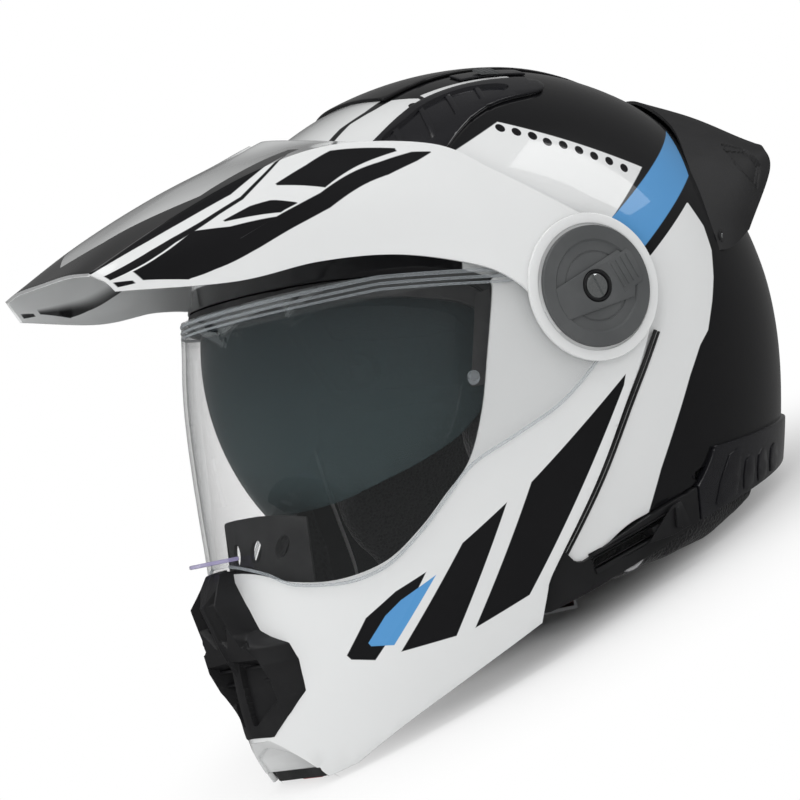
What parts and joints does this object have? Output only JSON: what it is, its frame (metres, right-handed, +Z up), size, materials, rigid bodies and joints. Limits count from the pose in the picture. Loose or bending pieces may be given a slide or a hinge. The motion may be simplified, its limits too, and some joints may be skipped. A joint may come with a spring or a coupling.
{
  "type": "modular motorcycle helmet",
  "caption": "Adventure style flip-up motorcycle helmet with a peak, a clear face shield and an inner sun visor, laid down on its chin bar and neck roll.",
  "frame": {"origin": "on the table under the middle of the whole helmet's box, the helmet resting on its chin bar and its neck roll", "axes": "+Z up from the table, -Y towards the front of the helmet, +X towards the wearer's left side"},
  "size_m": [0.2608, 0.3925, 0.286],
  "materials": {
    "shell_paint": "gloss",
    "chin_paint": "gloss",
    "peak_paint": "gloss",
    "foam": "matte",
    "padding": "matte",
    "webbing": "matte",
    "trim_black": "matte",
    "trim_grey": "matte",
    "gloss_black": "gloss",
    "disc_grey": "satin",
    "gasket": "matte",
    "steel": "satin",
    "screw_chrome": "polished",
    "clear_shield": "gloss",
    "tab_tint": "gloss",
    "smoke_visor": "gloss",
    "red_plastic": "gloss",
    "cable_sheath": "satin"
  },
  "bodies": {
    "helmet": {"outer_shell": "shell_paint", "impact_liner": "foam", "crown_pad": "padding", "cheek_core_left": "foam", "cheek_core_right": "foam", "cheek_pad_left": "padding", "cheek_pad_right": "padding", "neck_roll": "padding", "lower_trim": "trim_black", "rear_bumper": "gloss_black", "brow_gasket": "gasket", "crown_cowl": "gloss_black", "top_vent_left": "trim_black", "top_vent_right": "trim_black", "rear_spoiler": "trim_grey", "spoiler_screws": "steel", "pivot_plate_left": "steel", "pivot_plate_right": "steel", "latch_strikers": "steel", "sun_visor_pivots": "steel", "visor_cable": "cable_sheath", "strap_left": "webbing", "strap_right": "webbing", "strap_rivets": "steel", "buckle_body": "steel"},
    "chin_bar": {"chin_bar": "chin_paint", "chin_liner": "foam", "port_trim": "gasket", "breath_deflector": "trim_black", "chin_vent_cover": "trim_black", "chin_vent_core": "trim_grey", "arm_plate_left": "steel", "arm_plate_right": "steel", "button_housing": "trim_black", "button_spring": "steel", "latch_pins": "steel", "latch_cables": "cable_sheath", "chin_curtain": "webbing", "peak": "peak_paint", "side_disc_left": "disc_grey", "side_disc_right": "disc_grey", "disc_screws": "screw_chrome"},
    "chin_vent_slide": {"chin_vent_shutter": "trim_grey"},
    "release_button": {"release_button": "red_plastic"},
    "latch_hook_left": {"latch_hook_left": "steel"},
    "latch_hook_right": {"latch_hook_right": "steel"},
    "lock_lever_left": {"lock_lever_left": "disc_grey"},
    "lock_lever_right": {"lock_lever_right": "disc_grey"},
    "shield": {"face_shield": "clear_shield", "shield_tab": "tab_tint", "shield_pins": "clear_shield"},
    "sun_visor": {"sun_visor": "smoke_visor"},
    "visor_slider": {"visor_slider": "trim_grey"},
    "top_shutter_left": {"top_shutter_left": "trim_grey"},
    "top_shutter_right": {"top_shutter_right": "trim_grey"},
    "buckle_lever": {"buckle_lever": "red_plastic"},
    "ratchet_strip": {"ratchet_strip": "trim_black"}
  },
  "joints": [
    {"name": "chin_bar_flip", "type": "hinge", "parent": "helmet", "child": "chin_bar", "pos_m": [0, 0.0254, 0.148], "axis": [-1, 0, 0], "range_deg": [0, 68]},
    {"name": "shield_lift", "type": "hinge", "parent": "chin_bar", "child": "shield", "pos_m": [0, 0.0254, 0.148], "axis": [-1, 0, 0], "range_deg": [0, 30]},
    {"name": "sun_visor_lift", "type": "hinge", "parent": "helmet", "child": "sun_visor", "pos_m": [0, 0.00244, 0.14388], "axis": [-1, 0, 0], "range_deg": [0, 42]},
    {"name": "visor_slider_slide", "type": "slide", "parent": "helmet", "child": "visor_slider", "axis": [0, -0.9965, 0.0837], "range_m": [0, 0.0302]},
    {"name": "release_button_press", "type": "slide", "parent": "chin_bar", "child": "release_button", "axis": [0, 0, 1], "range_m": [0, 0.003], "stiffness_N_per_m": 600, "springref_m": -0.002, "deforming": ["button_spring"]},
    {"name": "latch_hook_left_turn", "type": "hinge", "parent": "chin_bar", "child": "latch_hook_left", "pos_m": [0, -0.08637, 0.03963], "axis": [-1, 0, 0], "range_deg": [0, 9]},
    {"name": "latch_hook_right_turn", "type": "hinge", "parent": "chin_bar", "child": "latch_hook_right", "pos_m": [0, -0.08637, 0.03963], "axis": [-1, 0, 0], "range_deg": [0, 9]},
    {"name": "chin_vent_slide", "type": "slide", "parent": "chin_bar", "child": "chin_vent_slide", "axis": [1, 0, 0], "range_m": [0, 0.006]},
    {"name": "lock_lever_left_turn", "type": "hinge", "parent": "chin_bar", "child": "lock_lever_left", "pos_m": [0, 0.0254, 0.148], "axis": [-1, 0, 0], "range_deg": [0, 40]},
    {"name": "lock_lever_right_turn", "type": "hinge", "parent": "chin_bar", "child": "lock_lever_right", "pos_m": [0, 0.0254, 0.148], "axis": [-1, 0, 0], "range_deg": [0, 40]},
    {"name": "top_shutter_left_slide", "type": "slide", "parent": "helmet", "child": "top_shutter_left", "axis": [0, 0.9003, -0.4352], "range_m": [0, 0.005]},
    {"name": "top_shutter_right_slide", "type": "slide", "parent": "helmet", "child": "top_shutter_right", "axis": [0, 0.9003, -0.4352], "range_m": [0, 0.005]},
    {"name": "buckle_lever_turn", "type": "hinge", "parent": "helmet", "child": "buckle_lever", "pos_m": [0.047, -0.04031, 0.01443], "axis": [0, 0.9348, -0.3551], "range_deg": [0, 25], "stiffness_Nm_per_rad": 0.05, "springref_deg": -5.73},
    {"name": "ratchet_strip_slide", "type": "slide", "parent": "helmet", "child": "ratchet_strip", "axis": [-1, 0, 0], "range_m": [0, 0.015]}
  ],
  "couplings": [
    {"joint": "visor_slider_slide", "follows": "sun_visor_lift", "m_per_rad": 0.041},
    {"joint": "latch_hook_left_turn", "follows": "release_button_press", "rad_per_m": 50},
    {"joint": "latch_hook_right_turn", "follows": "release_button_press", "rad_per_m": 50}
  ]
}
